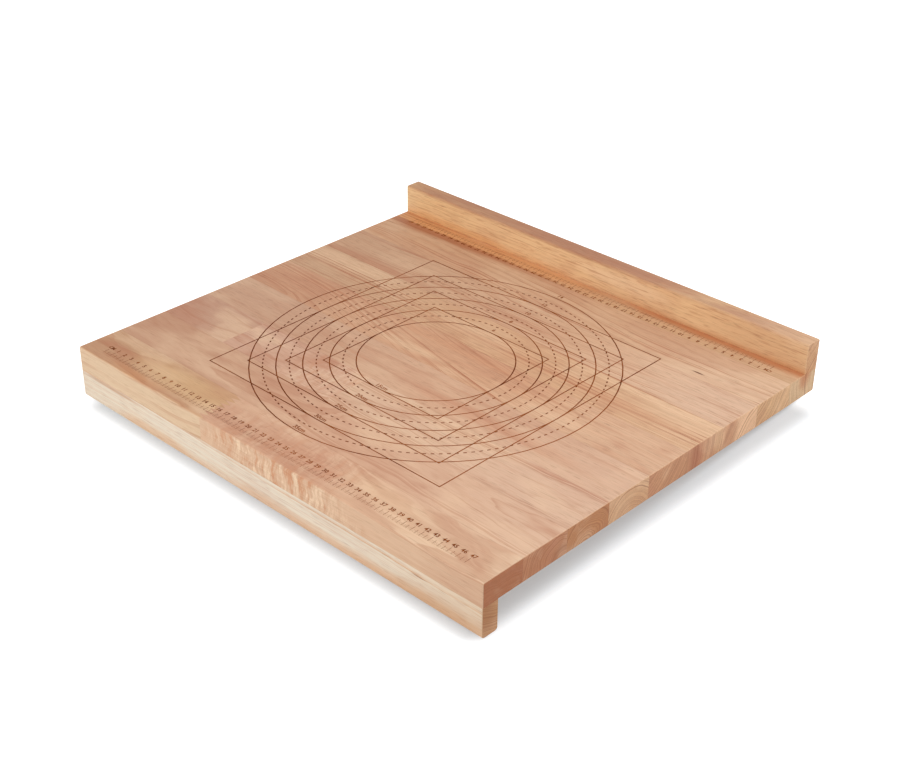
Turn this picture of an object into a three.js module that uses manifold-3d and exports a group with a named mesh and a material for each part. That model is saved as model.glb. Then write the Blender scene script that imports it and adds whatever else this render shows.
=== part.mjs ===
// Pastry board: an edge-glued hardwood panel with a lip under its front edge, which hooks over the edge of
// a worktop, and a stop on its rear edge. Measuring rings and squares are scribed into its top.
// Millimetres. +X runs to the right, +Y to the rear and +Z up. The origin is the middle of the panel's
// underside, which lies on the worktop.

import * as THREE from 'three';
import { mergeVertices } from 'three/addons/utils/BufferGeometryUtils.js';
import Module from 'manifold-3d';

// Panel
const PANEL_WIDTH = 524;
const PANEL_DEPTH = 459;
const PANEL_THICKNESS = 24;

// Rails, flush with the panel's ends and outer faces
const LIP_HEIGHT = 30;
const LIP_THICKNESS = 18;
const STOP_HEIGHT = 31;
const STOP_THICKNESS = 18.5;

// Sanding: long edges, the lip's lower edges and the edges of the two ends
const EDGE_RADIUS = 1.5;
const LIP_EDGE_RADIUS = 3;
const END_ARRIS = 1;
const SANDING_STEPS = 3;

// Staves: a little wider at the panel's left end than at its right, so the glue lines fan out to the left
const STAVE_WIDTH_LEFT = 53.8;
const STAVE_WIDTH_RIGHT = 53;
const MIDDLE_GLUE_LINE_LEFT_Y = -20.4;
const MIDDLE_GLUE_LINE_RIGHT_Y = -25.1;
const GLUE_LINE = 0.1;

// Finger joints between the blocks of a stave
const FINGER_LENGTH = 10;
const FINGER_PITCH = 6;
const FINGER_GAP = 0.3;

// Staves of more than one block, counted from the front. The third stave's right block takes up what its
// other two leave.
const FRONT_STAVE = 1;
const THIRD_STAVE = 3;
const LEFT_BLOCK_LENGTH = 95;
const MIDDLE_BLOCK_LENGTH = 150;
const BLOCK_LETTERS = 'abc';

// Dowels between each rail and the panel
const DOWEL_DIAMETER = 8;
const DOWEL_LENGTH = 35;
const DOWEL_CHAMFER = 1;
const DOWEL_SIDES = 12;
const DOWELS_PER_RAIL = 6;
const DOWEL_INSET = 62;
const SOCKET_CLEARANCE = 0.15;
const SOCKET_END_GAP = 1;
const SOCKET_SKIN = 9;

// Scribed lines: rings by diameter and squares by side, around a point midway between the front edge and
// the stop, and a little left of the middle
const RING_DIAMETERS = [150, 200, 250, 300, 350];
const SQUARE_SIDES = [150, 200, 250, 300];
const MARKS_OFFSET_X = -2.2;
const LINE_WIDTH = 0.8;
const RING_LINE_DEPTH = 0.3;
const SQUARE_LINE_DEPTH = 0.24;
const RING_SEGMENTS = 72;

// Finishes
const STAVE_COLOURS = [
  '#dcb48c', '#d6ab88', '#dab392', '#d8ad8a', '#d3a783', '#dcb795', '#cfa07c', '#d5a987', '#cf9a70',
];
const LIP_COLOUR = '#ead0a8';
const STOP_COLOUR = '#d9a873';
const DOWEL_COLOUR = '#dcc096';
const WOOD_ROUGHNESS = 0.6;

const wasm = await Module();
wasm.setup();

/** A closed three.js geometry as a solid that can be joined and cut. */
function solidOf(geometry) {
  geometry.deleteAttribute('normal');
  geometry.deleteAttribute('uv');
  const welded = mergeVertices(geometry);
  const vertProperties = new Float32Array(welded.attributes.position.array);
  const triVerts = new Uint32Array(welded.index.array);
  return new wasm.Manifold(new wasm.Mesh({ numProp: 3, vertProperties, triVerts }));
}

/** A solid as a named three.js mesh with its wood's colour. */
function pieceOf(name, solid, colour) {
  const { vertProperties, triVerts } = solid.getMesh();
  const geometry = new THREE.BufferGeometry();
  geometry.setAttribute('position', new THREE.BufferAttribute(vertProperties, 3));
  geometry.setIndex(new THREE.BufferAttribute(triVerts, 1));
  const material = new THREE.MeshStandardMaterial({
    color: colour,
    roughness: WOOD_ROUGHNESS,
    metalness: 0,
    flatShading: true,
  });
  const mesh = new THREE.Mesh(geometry, material);
  mesh.name = name;
  return mesh;
}

/** A level slab wider than the board, from one height to another. */
function slabBetween(low, high) {
  const geometry = new THREE.BoxGeometry(2 * PANEL_WIDTH, 2 * PANEL_DEPTH, high - low);
  return solidOf(geometry.translate(0, 0, (low + high) / 2));
}

/** An outline drawn in plan (x, y), standing from one height to another. */
function standingPrism(outline, low, high) {
  const shape = new THREE.Shape(outline);
  const geometry = new THREE.ExtrudeGeometry(shape, { depth: high - low, bevelEnabled: false });
  return solidOf(geometry.translate(0, 0, low));
}

/** An outline drawn in elevation (x, z), running from one y to another. */
function levelPrism(outline, front, rear) {
  const shape = new THREE.Shape(outline);
  const geometry = new THREE.ExtrudeGeometry(shape, { depth: rear - front, bevelEnabled: false });
  return solidOf(geometry.rotateX(Math.PI / 2).translate(0, rear, 0));
}

/** A closed outline through the given corners, each [y, z, radius], with an arc at each rounded corner. */
function roundedOutline(corners) {
  const points = [];
  corners.forEach(([y, z, radius], index) => {
    const corner = new THREE.Vector2(y, z);
    if (radius === 0) {
      points.push(corner);
      return;
    }
    const [beforeY, beforeZ] = corners.at(index - 1);
    const [afterY, afterZ] = corners.at((index + 1) % corners.length);
    const back = new THREE.Vector2(beforeY, beforeZ).sub(corner).normalize().multiplyScalar(radius);
    const onward = new THREE.Vector2(afterY, afterZ).sub(corner).normalize().multiplyScalar(radius);
    const centre = corner.clone().add(back).add(onward);
    for (let step = 0; step <= SANDING_STEPS; step += 1) {
      const turn = (step / SANDING_STEPS) * (Math.PI / 2);
      const point = centre.clone();
      point.addScaledVector(onward, -Math.cos(turn));
      point.addScaledVector(back, -Math.sin(turn));
      points.push(point);
    }
  });
  return points;
}

const frontY = -PANEL_DEPTH / 2;
const rearY = PANEL_DEPTH / 2;
const lipRootY = frontY + LIP_THICKNESS;
const stopFootY = rearY - STOP_THICKNESS;
const lipBottomZ = -LIP_HEIGHT;
const stopTopZ = PANEL_THICKNESS + STOP_HEIGHT;
const endX = PANEL_WIDTH / 2;

/** The glued-up board as it leaves the sander: its end section carried from the left end to the right. */
function sandedBoard() {
  const section = new THREE.Shape(roundedOutline([
    [frontY, lipBottomZ, LIP_EDGE_RADIUS],
    [lipRootY, lipBottomZ, LIP_EDGE_RADIUS],
    [lipRootY, 0, 0],
    [rearY, 0, EDGE_RADIUS],
    [rearY, stopTopZ, EDGE_RADIUS],
    [stopFootY, stopTopZ, EDGE_RADIUS],
    [stopFootY, PANEL_THICKNESS, 0],
    [frontY, PANEL_THICKNESS, EDGE_RADIUS],
  ]));
  const geometry = new THREE.ExtrudeGeometry(section, {
    depth: PANEL_WIDTH - 2 * END_ARRIS,
    bevelThickness: END_ARRIS,
    bevelSize: END_ARRIS,
    bevelOffset: -END_ARRIS,
    bevelSegments: SANDING_STEPS,
  });
  geometry.translate(0, 0, END_ARRIS - endX);
  const sectionToBoard = new THREE.Matrix4().makeBasis(
    new THREE.Vector3(0, 1, 0),
    new THREE.Vector3(0, 0, 1),
    new THREE.Vector3(1, 0, 0),
  );
  return solidOf(geometry.applyMatrix4(sectionToBoard));
}

/** A scribed line around the marks' centre: a V-shaped ring with flats at the given distance. */
function scribedLine(distance, sides, turn, depth) {
  const cornerReach = 1 / Math.cos(Math.PI / sides);
  const profile = [
    [distance, PANEL_THICKNESS - depth],
    [distance + LINE_WIDTH, PANEL_THICKNESS + depth],
    [distance - LINE_WIDTH, PANEL_THICKNESS + depth],
    [distance, PANEL_THICKNESS - depth],
  ].map(([radius, height]) => new THREE.Vector2(radius * cornerReach, height));
  const ring = new THREE.LatheGeometry(profile, sides, turn).rotateX(Math.PI / 2);
  return solidOf(ring.translate(MARKS_OFFSET_X, (frontY + stopFootY) / 2, 0));
}

/** All scribed rings and squares as one cutter. */
function scribedMarks() {
  const rings = RING_DIAMETERS.map((diameter) => {
    const radius = diameter / 2;
    return scribedLine(radius, RING_SEGMENTS, 0, RING_LINE_DEPTH);
  });
  const squareCorners = 4;
  const squares = SQUARE_SIDES.map((side) => {
    const turn = Math.PI / squareCorners;
    return scribedLine(side / 2, squareCorners, turn, SQUARE_LINE_DEPTH);
  });
  return [...rings, ...squares].reduce((all, line) => all.add(line));
}

/** A dowel, or a socket for one, from one height to another. */
function roundPeg(x, y, low, high, radius, chamfer) {
  const profile = [
    [0, low],
    [radius - chamfer, low],
    [radius, low + chamfer],
    [radius, high - chamfer],
    [radius - chamfer, high],
    [0, high],
  ].map(([reach, height]) => new THREE.Vector2(reach, height));
  const peg = new THREE.LatheGeometry(profile, DOWEL_SIDES).rotateX(Math.PI / 2);
  return solidOf(peg.translate(x, y, 0));
}

const dowelSpan = PANEL_WIDTH - 2 * DOWEL_INSET;
const dowelXs = [];
for (let index = 0; index < DOWELS_PER_RAIL; index += 1) {
  dowelXs.push(-dowelSpan / 2 + (index * dowelSpan) / (DOWELS_PER_RAIL - 1));
}

const dowelInPanel = PANEL_THICKNESS - SOCKET_SKIN - SOCKET_END_GAP;

// Each rail is cut from the board between two heights, the outer one well past the board
const rails = [
  {
    name: 'lip',
    colour: LIP_COLOUR,
    dowelY: (frontY + lipRootY) / 2,
    dowelTopZ: dowelInPanel,
    low: 2 * lipBottomZ,
    high: -GLUE_LINE,
  },
  {
    name: 'stop',
    colour: STOP_COLOUR,
    dowelY: (stopFootY + rearY) / 2,
    dowelTopZ: PANEL_THICKNESS - dowelInPanel + DOWEL_LENGTH,
    low: PANEL_THICKNESS + GLUE_LINE,
    high: 2 * stopTopZ,
  },
];

/** The sockets of both rails as one cutter. */
function dowelSockets() {
  const radius = DOWEL_DIAMETER / 2 + SOCKET_CLEARANCE;
  const sockets = rails.flatMap(({ dowelY, dowelTopZ }) => dowelXs.map((x) => {
    const high = dowelTopZ + SOCKET_END_GAP;
    const low = dowelTopZ - DOWEL_LENGTH - SOCKET_END_GAP;
    return roundPeg(x, dowelY, low, high, radius, DOWEL_CHAMFER);
  }));
  return sockets.reduce((all, socket) => all.add(socket));
}

/** Everything left of a finger joint at the given x, with its fingers stacked between two limits. */
function leftOfJoint(x, low, high) {
  const outline = [new THREE.Vector2(-PANEL_WIDTH, low)];
  const flankRise = FINGER_PITCH / 2;
  const flanks = Math.ceil((high - low) / flankRise);
  for (let index = 0; index <= flanks; index += 1) {
    const side = index % 2 === 0 ? -1 : 1;
    outline.push(new THREE.Vector2(x + (side * FINGER_LENGTH) / 2, low + index * flankRise));
  }
  outline.push(new THREE.Vector2(-PANEL_WIDTH, low + flanks * flankRise));
  return outline;
}

/** The front stave's fingers lie side by side, so its joint is a zigzag on the top and a line in front. */
function cutAcrossWidth(x) {
  return standingPrism(leftOfJoint(x, 2 * frontY, 0), -PANEL_THICKNESS, 2 * PANEL_THICKNESS);
}

/** The third stave's fingers are stacked through its thickness, so its joint is a line on the top. */
function cutAcrossThickness(x) {
  return levelPrism(leftOfJoint(x, -PANEL_THICKNESS, 2 * PANEL_THICKNESS), 2 * frontY, 2 * rearY);
}

/** A stave parted at its joints into blocks, from the left end to the right. */
function blocksOf(stave, jointXs, cutAt) {
  const blocks = [];
  let rest = stave;
  jointXs.forEach((x) => {
    blocks.push(rest.intersect(cutAt(x)));
    rest = rest.subtract(cutAt(x + FINGER_GAP));
  });
  blocks.push(rest);
  return blocks;
}

/** Where a glue line, counted from the middle one towards the rear, crosses the given x. */
function glueLineY(line, x) {
  const leftY = MIDDLE_GLUE_LINE_LEFT_Y + line * STAVE_WIDTH_LEFT;
  const rightY = MIDDLE_GLUE_LINE_RIGHT_Y + line * STAVE_WIDTH_RIGHT;
  return (leftY + rightY) / 2 + ((rightY - leftY) * x) / PANEL_WIDTH;
}

// The glue lines that leave whole wood for the dowels along the front and rear edges
const glueLineReach = PANEL_DEPTH / 2 - Math.max(LIP_THICKNESS, STOP_THICKNESS);
const clearsDowels = (line) => [-endX, endX].every((x) => Math.abs(glueLineY(line, x)) < glueLineReach);
let firstLine = 0;
while (clearsDowels(firstLine - 1)) {
  firstLine -= 1;
}
const staveEdges = [() => 2 * frontY];
for (let line = firstLine; clearsDowels(line); line += 1) {
  staveEdges.push((x) => glueLineY(line, x));
}
staveEdges.push(() => 2 * rearY);

/** The upright prism of one stave between two edges, each given as y at any x. */
function stavePrism(frontEdge, rearEdge) {
  const [left, right] = [-PANEL_WIDTH, PANEL_WIDTH];
  const outline = [
    new THREE.Vector2(left, frontEdge(left) + GLUE_LINE / 2),
    new THREE.Vector2(right, frontEdge(right) + GLUE_LINE / 2),
    new THREE.Vector2(right, rearEdge(right) - GLUE_LINE / 2),
    new THREE.Vector2(left, rearEdge(left) - GLUE_LINE / 2),
  ];
  return standingPrism(outline, -PANEL_THICKNESS, 2 * PANEL_THICKNESS);
}

// The front stave's joint lies midway between its second and third dowels
const frontStaveJoints = [(dowelXs[1] + dowelXs[2]) / 2];
const leftBlockEndX = -endX + LEFT_BLOCK_LENGTH;
const thirdStaveJoints = [leftBlockEndX, leftBlockEndX + MIDDLE_BLOCK_LENGTH];

const pastryBoard = new THREE.Group();
pastryBoard.name = 'pastry_board';

const drilledBoard = sandedBoard().subtract(dowelSockets());

rails.forEach(({ name, colour, low, high }) => {
  const rail = drilledBoard.intersect(slabBetween(low, high));
  pastryBoard.add(pieceOf(`${name}_rail`, rail, colour));
});

const panel = drilledBoard.intersect(slabBetween(0, PANEL_THICKNESS)).subtract(scribedMarks());

for (let number = 1; number < staveEdges.length; number += 1) {
  const stave = panel.intersect(stavePrism(staveEdges[number - 1], staveEdges[number]));
  const colour = STAVE_COLOURS[(number - 1) % STAVE_COLOURS.length];
  let blocks = [stave];
  if (number === FRONT_STAVE) {
    blocks = blocksOf(stave, frontStaveJoints, cutAcrossWidth);
  } else if (number === THIRD_STAVE) {
    blocks = blocksOf(stave, thirdStaveJoints, cutAcrossThickness);
  }
  blocks.forEach((block, order) => {
    const suffix = blocks.length > 1 ? `_${BLOCK_LETTERS[order]}` : '';
    pastryBoard.add(pieceOf(`stave_${number}${suffix}`, block, colour));
  });
}

rails.forEach(({ name, dowelY, dowelTopZ }) => {
  dowelXs.forEach((x, index) => {
    const low = dowelTopZ - DOWEL_LENGTH;
    const dowel = roundPeg(x, dowelY, low, dowelTopZ, DOWEL_DIAMETER / 2, DOWEL_CHAMFER);
    pastryBoard.add(pieceOf(`${name}_dowel_${index + 1}`, dowel, DOWEL_COLOUR));
  });
});

export default pastryBoard;
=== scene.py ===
# %% [markdown]
# # A pastry board of glued hardwood
# The board is a panel of nine staves with a lip under its front edge, which hooks over the edge of a
# worktop, and a stop along its rear edge. The solids arrive ready sawn and jointed in the frame. This
# lesson gives each of them its own piece of wood, burns the measuring marks into the top, and sets the
# board on a white studio floor.

# %% The frame
import math
from dataclasses import dataclass, fields

import bpy
import numpy as np
from mathutils import Matrix, Vector


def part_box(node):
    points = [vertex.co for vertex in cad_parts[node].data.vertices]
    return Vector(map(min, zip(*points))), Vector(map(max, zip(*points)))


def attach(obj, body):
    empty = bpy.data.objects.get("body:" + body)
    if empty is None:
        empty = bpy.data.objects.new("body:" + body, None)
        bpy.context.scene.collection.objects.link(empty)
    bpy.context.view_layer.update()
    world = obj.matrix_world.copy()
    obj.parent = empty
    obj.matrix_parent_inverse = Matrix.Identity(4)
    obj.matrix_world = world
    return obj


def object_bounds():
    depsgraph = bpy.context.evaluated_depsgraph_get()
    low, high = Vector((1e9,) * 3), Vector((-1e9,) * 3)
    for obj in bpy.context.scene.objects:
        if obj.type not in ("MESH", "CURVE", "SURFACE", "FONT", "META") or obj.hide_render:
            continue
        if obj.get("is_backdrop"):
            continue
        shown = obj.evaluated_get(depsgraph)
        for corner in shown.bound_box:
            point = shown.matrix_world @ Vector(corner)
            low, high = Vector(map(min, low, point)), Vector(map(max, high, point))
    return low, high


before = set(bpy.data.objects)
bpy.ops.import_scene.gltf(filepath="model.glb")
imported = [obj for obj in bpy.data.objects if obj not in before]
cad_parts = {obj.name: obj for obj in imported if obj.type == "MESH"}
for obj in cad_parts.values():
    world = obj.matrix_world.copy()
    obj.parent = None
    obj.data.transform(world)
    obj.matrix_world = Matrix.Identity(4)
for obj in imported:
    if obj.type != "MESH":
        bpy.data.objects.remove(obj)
cad_low, cad_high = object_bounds()
MM = 0.001
print("frame:", len(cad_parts), "solids, box", [round(v, 4) for v in (*cad_low, *cad_high)])

# %% [markdown]
# ## The board's own places
# Every mark is set out from the board itself, as a maker would with a rule: from the front edge, from the
# foot of the stop and from the panel's top. These could be typed in as numbers. The frame gives them, so
# nothing has to be fitted afterwards.

# %% Places on the board
top_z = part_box("stave_5")[1].z
front_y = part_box("stave_1_a")[0].y
rear_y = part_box("stave_9")[1].y
stop_foot_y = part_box("stop_rail")[0].y
lip_root_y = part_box("lip_rail")[1].y
lip_bottom_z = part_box("lip_rail")[0].z
half_width = cad_high.x
MARKS_OFFSET_X = -2.2 * MM
marks = Vector((MARKS_OFFSET_X, (front_y + stop_foot_y) / 2, top_z))
print("marks around", [round(v / MM, 2) for v in marks], "mm")

# %% [markdown]
# ## The camera
# The view is from the front right, about 0.73 m above the board's top. A camera could be moved by eye
# until the picture fits. Here the board's own rulers and rings say where it stood, because their real
# sizes are known: 1.48 m from the middle of the marks, with a lens a little longer than normal. A small
# roll turns the view as the camera was held.

# %% Camera
EYE = Vector((0.8909, -0.9302, 0.7530))
AIM = Vector((0.0378, -0.0320, 0.0240))
LENS = 62.7
SENSOR = 36.0
ROLL = math.radians(0.53)


def camera_place(eye, aim, roll):
    """Columns right, up and back of a camera at eye that looks at aim, rolled about the line of sight."""
    back = (eye - aim).normalized()
    level = Vector((0, 0, 1)).cross(back).normalized()
    right = Matrix.Rotation(roll, 3, back) @ level
    place = Matrix((right, back.cross(right), back)).transposed().to_4x4()
    place.translation = eye
    return place


lens = bpy.data.cameras.new("camera")
lens.lens = LENS
lens.sensor_width = SENSOR
camera = bpy.data.objects.new("camera", lens)
camera.matrix_world = camera_place(EYE, AIM, ROLL)
bpy.context.scene.collection.objects.link(camera)
bpy.context.scene.camera = camera
bpy.context.scene.view_settings.view_transform = "Standard"
print("camera", round((EYE - marks).length, 2), "m from the marks' middle")

# %% [markdown]
# ## Writing a shader as arithmetic
# A wood's pattern is a formula in three dimensions. Its nodes could be wired up by hand, but a formula is
# easier to read as calls than as a picture of boxes and wires. This small class adds one node for each
# call and hands back its output, so the formula for the growth rings further down reads from top to
# bottom. Colours are written as they are seen on a screen, and turned into light by the screen's own
# curve.

# %% Colours as light
SCREEN_FOOT = 0.04045
SCREEN_SLOPE = 12.92
SCREEN_LIFT = 0.055
SCREEN_POWER = 2.4
WHITE = (1.0, 1.0, 1.0, 1.0)


def linear(colour):
    """A colour as it is seen, in parts of 255, as the light that it reflects: a straight foot near black,
    and a power of the lifted value above it."""
    seen = np.asarray(colour, float) / 255
    lifted = ((seen + SCREEN_LIFT) / (1 + SCREEN_LIFT)) ** SCREEN_POWER
    light = np.where(seen <= SCREEN_FOOT, seen / SCREEN_SLOPE, lifted)
    return (*light.tolist(), 1.0)


print("a grey of 128 reflects", round(linear((128, 128, 128))[0], 3), "of the light")

# %% Shader arithmetic
MIX_SHARE, MIX_FIRST, MIX_SECOND = 0, 6, 7  # numbers of the Mix node's sockets for colours
MIX_RESULT = 2


class Shader:
    """The nodes of a material or of the sky. Each method adds a node and returns the output the next
    takes."""

    def __init__(self, owner):
        owner.use_nodes = True
        self.owner = owner
        self.tree = owner.node_tree
        self.surface = next(node for node in self.tree.nodes if not node.name.endswith("Output"))

    def feed(self, socket, value):
        """A socket takes either a constant or the output of another node."""
        if isinstance(value, bpy.types.NodeSocket):
            self.tree.links.new(value, socket)
        else:
            socket.default_value = value

    def node(self, kind, feeds, output=0, **options):
        """A node of any kind, with its inputs fed by name or number."""
        made = self.tree.nodes.new(kind)
        for option, value in options.items():
            setattr(made, option, value)
        for key, value in feeds.items():
            self.feed(made.inputs[key], value)
        return made.outputs[output]

    def math(self, operation, *values):
        """One step of arithmetic on numbers."""
        return self.node("ShaderNodeMath", dict(enumerate(values)), operation=operation)

    def vector(self, operation, *values, output=0):
        """One step of arithmetic on vectors."""
        return self.node("ShaderNodeVectorMath", dict(enumerate(values)), output, operation=operation)

    def part(self, vector, axis):
        """One coordinate of a vector."""
        return self.node("ShaderNodeSeparateXYZ", {0: vector}, axis)

    def ramp(self, value, start, end, low=0.0, high=1.0):
        """Eases from low at start to high at end, and stays there."""
        feeds = {"Value": value, "From Min": start, "From Max": end, "To Min": low, "To Max": high}
        return self.node("ShaderNodeMapRange", feeds, interpolation_type="SMOOTHSTEP")

    def noise(self, place, layers, strength, output="Fac"):
        """Smooth noise with one grain to a unit of place, and finer layers, each of a strength, added to
        it."""
        feeds = {"Vector": place, "Scale": 1.0, "Detail": layers, "Roughness": strength}
        return self.node("ShaderNodeTexNoise", feeds, output)

    def mix(self, share, first, second, blend="MIX"):
        """The first colour where share is none, the second where it is one."""
        feeds = {MIX_SHARE: share, MIX_FIRST: first, MIX_SECOND: second}
        return self.node("ShaderNodeMix", feeds, MIX_RESULT, data_type="RGBA", blend_type=blend)

    def seen(self):
        """One for what is seen, also in a mirror or through glass, and none for the light that falls on
        things."""
        ray = self.tree.nodes.new("ShaderNodeLightPath").outputs
        mirrored = self.math("MAXIMUM", ray["Is Glossy Ray"], ray["Is Transmission Ray"])
        return self.math("MAXIMUM", ray["Is Camera Ray"], mirrored)


# %% [markdown]
# ## How a piece of wood is described
# A board's figure is decided by where it lay in the tree. Stripes could be painted on each face, but they
# would break at every edge. Instead each piece says where the pith of its tree ran beside it at its left
# and right ends, how far apart the growth rings are and how much they wander. One formula then gives
# straight lines on a quarter-sawn stave, arches on a flat-sawn one and arcs on the end grain, all round
# each solid, because the pattern fills its inside. Three tints follow one another along the length, and
# the end grain and the front face may have their own. Clouds, flecks, curl and stains stand for what
# growth adds: paler and deeper swirls, short reddish flecks, wavy grain across a block, and patches where
# the colour turns. A few patches of the same kind are painted shade along the foot of the stop.

# %% Wood recipe
LATE_WOOD = (164, 92, 56)


@dataclass
class Stain:
    """A patch of another tint: its middle and its reach along x, y and z, in millimetres of the board's
    frame. Most are stains in the wood; those along the stop's foot are painted shade."""

    middle: tuple
    reach: tuple
    tint: tuple
    amount: float


@dataclass
class Wood:
    """One piece of wood. Lengths are in millimetres and colours in parts of 255."""

    left: tuple  # tint at the left end
    middle: tuple  # tint half way along the board
    right: tuple  # tint at the right end
    end: tuple  # tint of the end grain
    pith_left: tuple  # y and z from the piece's middle to the pith, at the left end
    pith_right: tuple  # the same at the right end
    ring: float = 5.0  # usual distance between rings
    figure: float = 0.4  # how dark the late wood is
    waver: float = 4.0  # how far the rings wander
    swirl: float = 0.25  # how strong the paler and deeper clouds are
    fleck: float = 0.15  # how strong the short reddish flecks are
    settle: float = 1.0  # part of the length in which the pith comes to its right-hand place
    curl: tuple = ()  # wavy figure: its middle x, half length, strength on the front and elsewhere
    late: tuple = LATE_WOOD  # tint of the late wood
    fibre: float = 1.0  # how clearly fibres and pores show
    front: tuple = ()  # tint of the front face, where it differs
    end_ring: float = 3.5  # distance between the lines that show on the end grain
    stains: tuple = ()  # patches of another tint


print("a piece of wood is described by", len(fields(Wood)), "values")

# %% [markdown]
# ## Noise with a grain
# Wood is uneven at every size, from clouds as wide as a hand to pores less than a millimetre wide. All of
# it could be one noise with many layers, but each kind has its own length and needs its own strength, so
# each is a noise of its own, and all but the curl are drawn out along the staves. A row of the table says
# how many grains fit in a metre along x, y and z, how many finer layers are added, and how strong each
# layer is. Every piece starts at another place in the noise, so that no two are alike. The direction in
# which a face looks tells end grain, front face and the rounded arris apart; the arris at each end gets a
# painted highlight.

# %% Grain
NOISES = {
    "wander": ((4, 12, 12), 1.5, 0.5),
    "ripple": ((14, 60, 60), 2.0, 0.5),
    "fade": ((9, 30, 30), 1.0, 0.5),
    "blotch": ((6, 18, 18), 2.0, 0.5),
    "cloud": ((10, 40, 40), 3.0, 0.55),
    "sweep": ((9, 22, 22), 2.0, 0.5),
    "feather": ((9, 20, 20), 5.0, 0.45),
    "curl": ((160, 32, 32), 4.0, 0.75),
    "fibre": ((9, 420, 420), 4.0, 0.65),
    "fine": ((60, 1300, 1300), 2.0, 0.6),
    "fleck": ((60, 900, 900), 1.0, 0.5),
    "pore": ((80, 1700, 1700), 0.0, 0.5),
    "pore_patch": ((30, 200, 200), 1.0, 0.5),
}
NOISE_MEAN = 0.5
PIECE_SHIFT = (1.7, 2.9, 4.3)
END_FACES = (0.5, 0.9)  # how far a face looks along the board where end grain begins and is full
# how much painted highlight the rounded arris beside the end grain takes
ARRIS_HIGHLIGHT = 0.25
ARRIS_FROM = (0.1, 0.3)  # the same where the rounded edge beside it begins
ARRIS_TO = (0.97, 0.85)  # and where that edge has turned into the end
FRONT_FACES = (-0.6, -0.8)  # how far a face looks to the rear where the front begins and is full


class Grain(Shader):
    """The shader of one piece of wood, with what every part of its pattern asks for: the place, the part
    of the board's length to the left of it, how far the face is end grain or front, and how much painted
    highlight its rounded arris takes."""

    def __init__(self, name, seed):
        super().__init__(bpy.data.materials.new(name))
        self.seed = seed
        self.shift = tuple(seed * step for step in PIECE_SHIFT)
        self.place = self.node("ShaderNodeTexCoord", {}, "Object")
        self.x = self.part(self.place, "X")
        self.along = self.math("MULTIPLY_ADD", self.x, 0.5 / half_width, 0.5)
        self.ripple = self.push("ripple")
        self.cloud = self.uneven("cloud")
        normal = self.node("ShaderNodeNewGeometry", {}, "Normal")
        facing = self.math("ABSOLUTE", self.part(normal, "X"))
        self.end_grain = self.ramp(facing, *END_FACES)
        # Painted highlight: the rounded arris where a face turns into the end is lightened, as if it caught
        # the light.
        arris = self.ramp(facing, *ARRIS_FROM, 0.0, ARRIS_HIGHLIGHT)
        self.arris = self.math("MULTIPLY", arris, self.ramp(facing, *ARRIS_TO))
        self.front_face = self.ramp(self.part(normal, "Y"), *FRONT_FACES)

    def uneven(self, kind, place=None, output="Fac"):
        """One noise of the table, as a number around its mean."""
        grains, layers, strength = NOISES[kind]
        start = self.place if place is None else place
        return self.noise(self.vector("MULTIPLY_ADD", start, grains, self.shift), layers, strength, output)

    def push(self, kind):
        """One noise of the table, as a vector around nought that pushes a pattern about."""
        return self.vector("SUBTRACT", self.uneven(kind, output="Color"), (NOISE_MEAN,) * 3)


print("wood is uneven in", len(NOISES), "ways")

# %% [markdown]
# ## Growth rings
# Each year a tree adds a ring around its pith: pale early wood that darkens slowly and ends sharply in
# dark late wood. A wave texture could draw such bands, but it knows no pith and its bands are all alike.
# Here the distance to the pith line, pushed about by noise, counts the rings, each ring draws its own
# strength, and the figure fades in and out along the stave.

# %% Counting the rings
WANDER_PUSH = 4.0
RIPPLE_PUSH = 0.7
UNEVEN_RATE = 0.45
UNEVEN_RINGS = 1.6


def ring_count(g, wood, middle):
    """Rings from the pith to a point: the distance across the grain to the pith line, over the width of a
    ring, with noise added so that some years are wide and some narrow. On end grain, lines lie end_ring
    apart."""
    piths = (wood.pith_left, wood.pith_right)
    left, right = (Vector((0, middle.y + y * MM, middle.z + z * MM)) for y, z in piths)
    settled = g.ramp(g.along, 0.0, wood.settle)
    span = g.node("ShaderNodeCombineXYZ", {0: settled, 1: settled, 2: settled})
    pith = g.vector("MULTIPLY_ADD", span, tuple(right - left), tuple(left))
    wander = WANDER_PUSH * wood.waver * MM
    ripple = RIPPLE_PUSH * wood.waver * MM
    bent = g.vector("MULTIPLY_ADD", g.push("wander"), (0, wander, wander), g.place)
    bent = g.vector("MULTIPLY_ADD", g.ripple, (0, ripple, ripple), bent)
    spoke = g.vector("MULTIPLY", g.vector("SUBTRACT", bent, pith), (0, 1, 1))
    count = g.math("DIVIDE", g.vector("LENGTH", spoke, output="Value"), wood.ring * MM)
    years = {"W": g.math("MULTIPLY_ADD", count, UNEVEN_RATE, g.seed), "Detail": 1.0}
    uneven = g.node("ShaderNodeTexNoise", years, noise_dimensions="1D")
    count = g.math("MULTIPLY_ADD", uneven, UNEVEN_RINGS, count)
    closer = g.math("MULTIPLY_ADD", g.end_grain, wood.ring / wood.end_ring - 1, 1.0)
    return g.math("MULTIPLY", count, closer)


# %% Late wood
RING_STOP = (0.93, 1.0)
BAND_POWER = 2.5
LINE_POWER = 4.0
BAND_SHARE = 0.2
FAINTEST_RING = 0.25
FADE_RANGE = (0.35, 0.6)
FADED = 0.35
END_FIGURE = 0.85


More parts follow.
